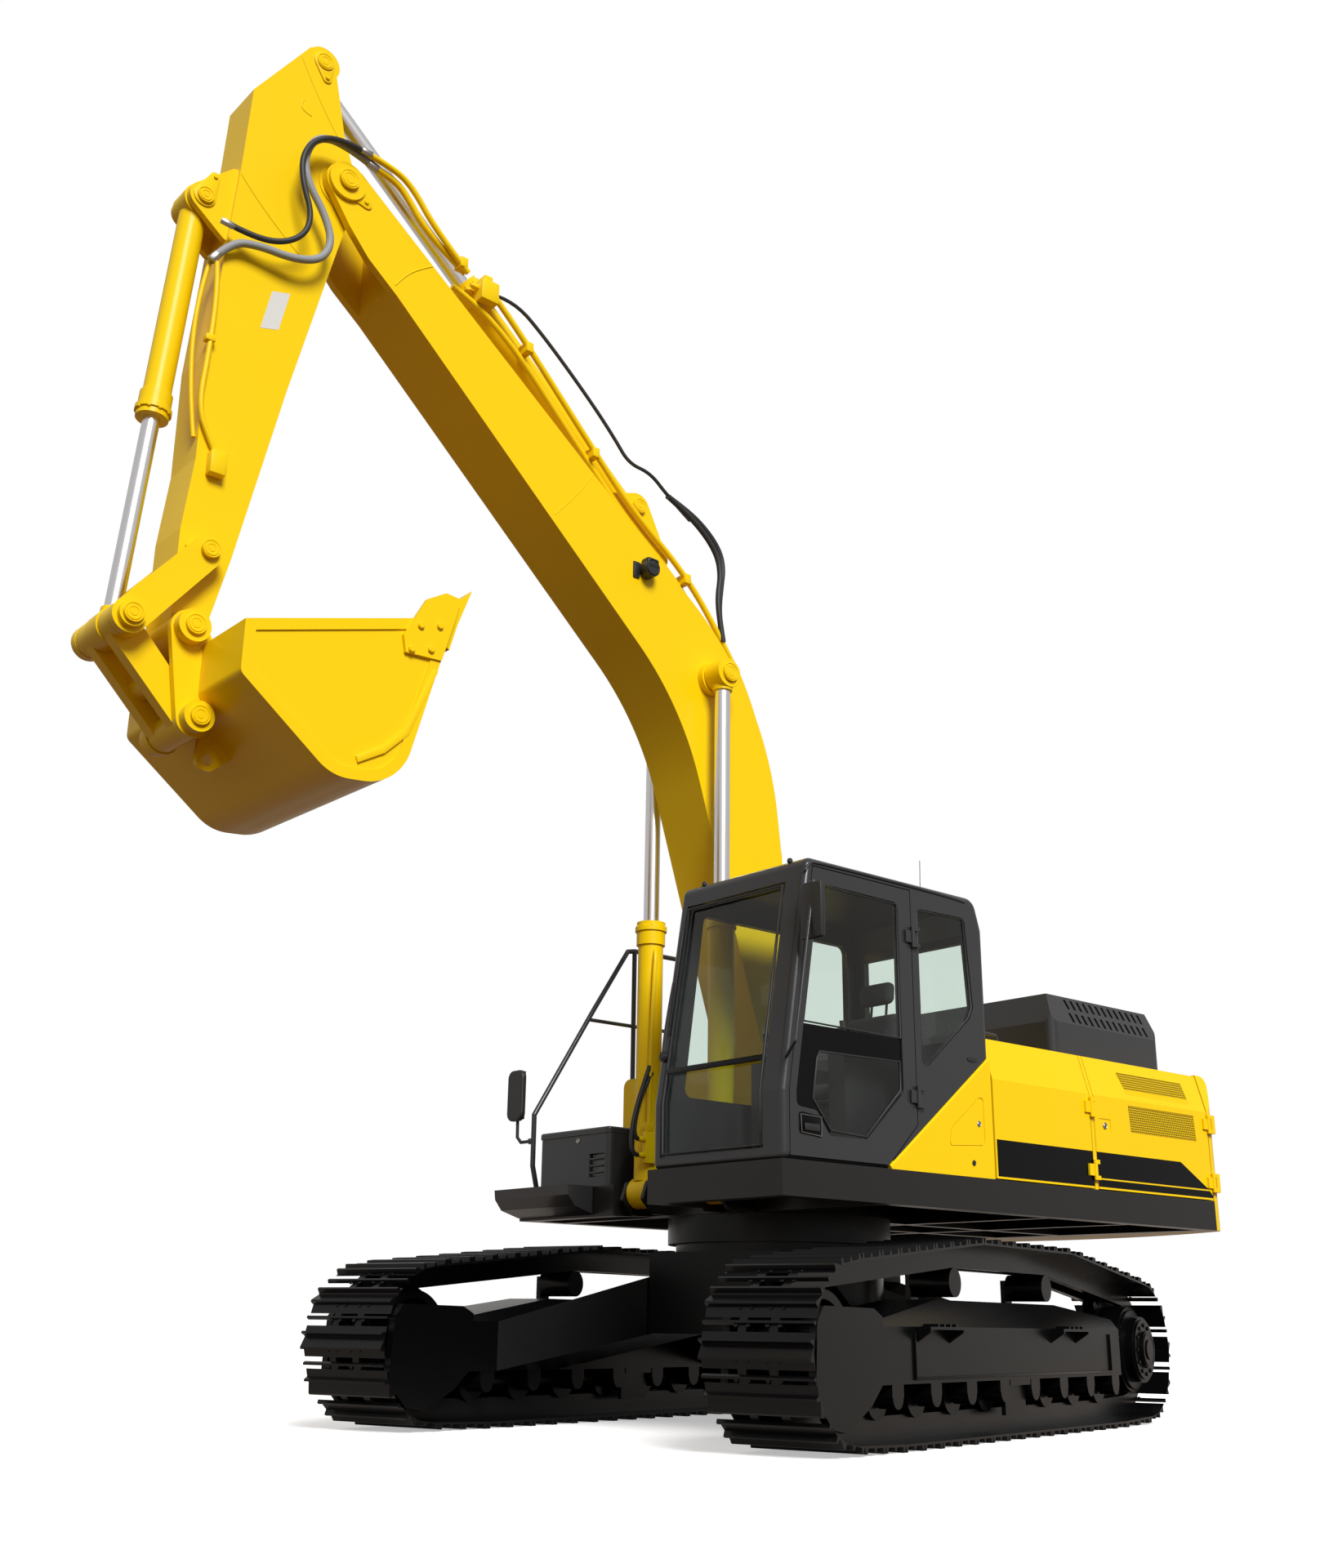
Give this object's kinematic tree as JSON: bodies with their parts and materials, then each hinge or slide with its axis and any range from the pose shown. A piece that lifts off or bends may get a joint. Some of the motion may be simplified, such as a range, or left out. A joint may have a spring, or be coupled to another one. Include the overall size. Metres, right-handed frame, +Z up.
{
  "type": "crawler excavator",
  "caption": "Hydraulic crawler excavator with a slewed house on steel tracks, a raised box boom, a hanging arm and a curled digging bucket.",
  "frame": {"origin": "on the ground, under the middle of the whole machine as parked", "axes": "+X to the front of the house, towards the bucket; +Y to its left, the cab side; +Z up"},
  "size_m": [7.7888, 4.359, 7.8369],
  "materials": {
    "chassis_black": "satin",
    "track_steel": "matt",
    "yellow": "gloss",
    "dark_grey": "satin",
    "chrome": "polished",
    "steel": "worn",
    "glass": "tinted",
    "seat_fabric": "woven",
    "black_plastic": "matt"
  },
  "bodies": {
    "undercarriage": {"track_left": "track_steel", "track_right": "track_steel", "side_frame_left": "chassis_black", "side_frame_right": "chassis_black", "idlers": "chassis_black", "sprockets": "chassis_black", "final_drives": "chassis_black", "bottom_rollers": "chassis_black", "carrier_rollers": "chassis_black", "track_steps": "chassis_black", "carbody": "chassis_black", "swing_bearing": "chassis_black"},
    "house": {"deck_frame": "dark_grey", "counterweight": "yellow", "engine_block": "dark_grey", "left_cover_frame": "dark_grey", "right_cover_frame": "dark_grey", "fuel_tank": "yellow", "oil_tank": "yellow", "centre_cover": "dark_grey", "swing_motor": "dark_grey", "storage_box": "dark_grey", "exhaust_stack": "steel", "handrail": "dark_grey", "right_mirror": "black_plastic", "front_step": "dark_grey", "cab_shell": "dark_grey", "cab_glass": "glass", "seat": "seat_fabric", "consoles": "black_plastic", "work_lamp": "glass", "service_panel": "yellow"},
    "cab_door": {"cab_door": "dark_grey", "door_glass": "glass"},
    "left_middle_door": {"left_middle_door": "yellow"},
    "left_rear_door": {"left_rear_door": "yellow"},
    "right_rear_door": {"right_rear_door": "yellow"},
    "engine_hood": {"engine_hood": "dark_grey"},
    "box_lid": {"box_lid": "dark_grey"},
    "boom": {"boom": "yellow"},
    "boom_barrels": {"boom_cylinder_barrel": "yellow"},
    "boom_rods": {"boom_cylinder_rod": "chrome"},
    "arm_barrel": {"arm_cylinder_barrel": "yellow"},
    "arm_rod": {"arm_cylinder_rod": "chrome"},
    "arm": {"arm": "yellow"},
    "bucket_barrel": {"bucket_cylinder_barrel": "yellow"},
    "bucket_rod": {"bucket_cylinder_rod": "chrome"},
    "rockers": {"rocker_links": "yellow"},
    "bucket": {"bucket": "yellow", "bucket_teeth": "steel"},
    "power_link": {"power_link": "yellow"}
  },
  "joints": [
    {"name": "swing", "type": "hinge", "parent": "undercarriage", "child": "house", "pos_m": [-0.87, 0, 1.19], "axis": [0, 0, 1], "continuous": true},
    {"name": "boom_lift", "type": "hinge", "parent": "house", "child": "boom", "pos_m": [-0.781, 0, 1.918], "axis": [0, -1, 0], "range_deg": [-95, 7]},
    {"name": "arm_crowd", "type": "hinge", "parent": "boom", "child": "arm", "pos_m": [2.814, 0, 6.926], "axis": [0, 1, 0], "range_deg": [-95, 14]},
    {"name": "bucket_curl", "type": "hinge", "parent": "arm", "child": "bucket", "pos_m": [3.466, 0, 3.892], "axis": [0, 1, 0], "range_deg": [-160, 10]},
    {"name": "boom_barrel_tilt", "type": "hinge", "parent": "house", "child": "boom_barrels", "pos_m": [-0.069, 0, 1.334], "axis": [0, -1, 0], "range_deg": [-95.06, 8.86]},
    {"name": "boom_rod_slide", "type": "slide", "parent": "boom_barrels", "child": "boom_rods", "axis": [-0.0053, 0, 1], "range_m": [-1.414, 0.123]},
    {"name": "arm_barrel_tilt", "type": "hinge", "parent": "boom", "child": "arm_barrel", "pos_m": [0.48, 0, 5.64], "axis": [0, 1, 0], "range_deg": [-10.33, 3.23]},
    {"name": "arm_rod_slide", "type": "slide", "parent": "arm_barrel", "child": "arm_rod", "axis": [0.7684, 0, 0.6399], "range_m": [-1.206, 0.195]},
    {"name": "bucket_barrel_tilt", "type": "hinge", "parent": "arm", "child": "bucket_barrel", "pos_m": [3.622, 0, 6.474], "axis": [0, 1, 0], "range_deg": [-7.62, 2.35]},
    {"name": "bucket_rod_slide", "type": "slide", "parent": "bucket_barrel", "child": "bucket_rod", "axis": [0.0692, 0, -0.9976], "range_m": [-1.03, 0.083]},
    {"name": "rocker_turn", "type": "hinge", "parent": "arm", "child": "rockers", "pos_m": [3.43, 0, 4.322], "axis": [0, 1, 0], "range_deg": [-118.05, 9.25]},
    {"name": "power_link_turn", "type": "hinge", "parent": "bucket", "child": "power_link", "pos_m": [3.393, 0, 3.42], "axis": [0, 1, 0], "range_deg": [-8.9, 112.4]},
    {"name": "cab_door_hinge", "type": "hinge", "parent": "house", "child": "cab_door", "pos_m": [-0.497, 1.502, 2.2], "axis": [0, 0, 1], "range_deg": [0, 165]},
    {"name": "left_middle_door_hinge", "type": "hinge", "parent": "house", "child": "left_middle_door", "pos_m": [-2.108, 1.504, 1.8], "axis": [0, 0, -1], "range_deg": [-110, 0]},
    {"name": "left_rear_door_hinge", "type": "hinge", "parent": "house", "child": "left_rear_door", "pos_m": [-3.407, 1.504, 1.8], "axis": [0, 0, -1], "range_deg": [-110, 0]},
    {"name": "right_rear_door_hinge", "type": "hinge", "parent": "house", "child": "right_rear_door", "pos_m": [-3.407, -1.504, 1.8], "axis": [0, 0, -1], "range_deg": [0, 110]},
    {"name": "engine_hood_hinge", "type": "hinge", "parent": "house", "child": "engine_hood", "pos_m": [-3.424, 0, 2.232], "axis": [0, -1, 0], "range_deg": [0, 50]},
    {"name": "box_lid_hinge", "type": "hinge", "parent": "house", "child": "box_lid", "pos_m": [-0.8, 0, 1.764], "axis": [0, -1, 0], "range_deg": [0, 80]}
  ],
  "couplings": [
    {"joint": "boom_barrel_tilt", "follows": "boom_lift", "ratio": 0.97959},
    {"joint": "boom_rod_slide", "follows": "boom_lift", "m_per_rad": 0.84069},
    {"joint": "arm_barrel_tilt", "follows": "arm_crowd", "ratio": 0.08772},
    {"joint": "arm_rod_slide", "follows": "arm_crowd", "m_per_rad": 0.7152},
    {"joint": "bucket_barrel_tilt", "follows": "bucket_curl", "ratio": 0.03514},
    {"joint": "bucket_rod_slide", "follows": "bucket_curl", "m_per_rad": 0.36156},
    {"joint": "rocker_turn", "follows": "bucket_curl", "ratio": 0.7253},
    {"joint": "power_link_turn", "follows": "bucket_curl", "ratio": -0.69}
  ]
}
